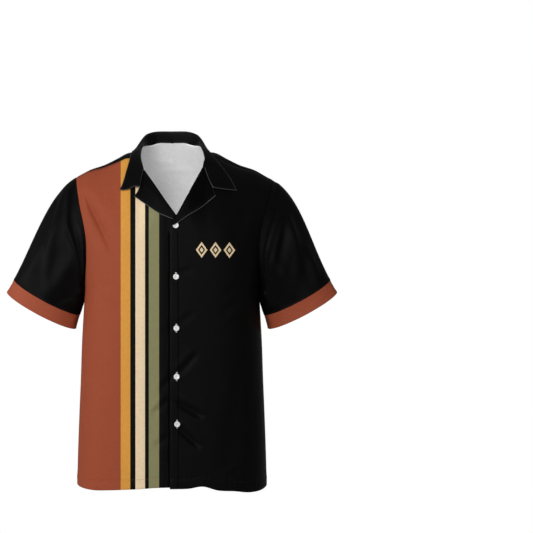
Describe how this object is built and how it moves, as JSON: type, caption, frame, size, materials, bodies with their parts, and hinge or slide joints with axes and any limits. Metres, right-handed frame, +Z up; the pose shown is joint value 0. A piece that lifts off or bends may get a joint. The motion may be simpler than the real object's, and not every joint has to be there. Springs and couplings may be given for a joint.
{
  "type": "short-sleeved bowling shirt",
  "caption": "Short-sleeved button-front shirt with a camp collar, turned-back lapels and contrast sleeve bands, filled out as if worn and hollow inside.",
  "frame": {"origin": "centre of the neck at the height of the shoulder-neck points, where a wearer's shoulders carry the shirt", "axes": "+Z up along the body, -Y the way the wearer faces, +X towards the wearer's left"},
  "size_m": [0.7122, 0.2636, 0.7775],
  "materials": {
    "printed_polyester": "dye-printed woven polyester, rust with mustard, cream, black and olive stripes",
    "black_polyester": "smooth black woven polyester with a soft sheen",
    "rust_polyester": "smooth rust woven polyester",
    "button": "white moulded shirt button"
  },
  "bodies": {
    "root": {"front_right": "printed_polyester", "front_left": "black_polyester", "back": "black_polyester", "sleeve_right": "black_polyester", "sleeve_left": "black_polyester", "sleeve_band_right": "rust_polyester", "sleeve_band_left": "rust_polyester", "collar": "black_polyester", "lapel_right": "black_polyester", "lapel_left": "black_polyester", "button_1": "button", "button_2": "button", "button_3": "button", "button_4": "button", "button_5": "button"}
  },
  "joints": []
}
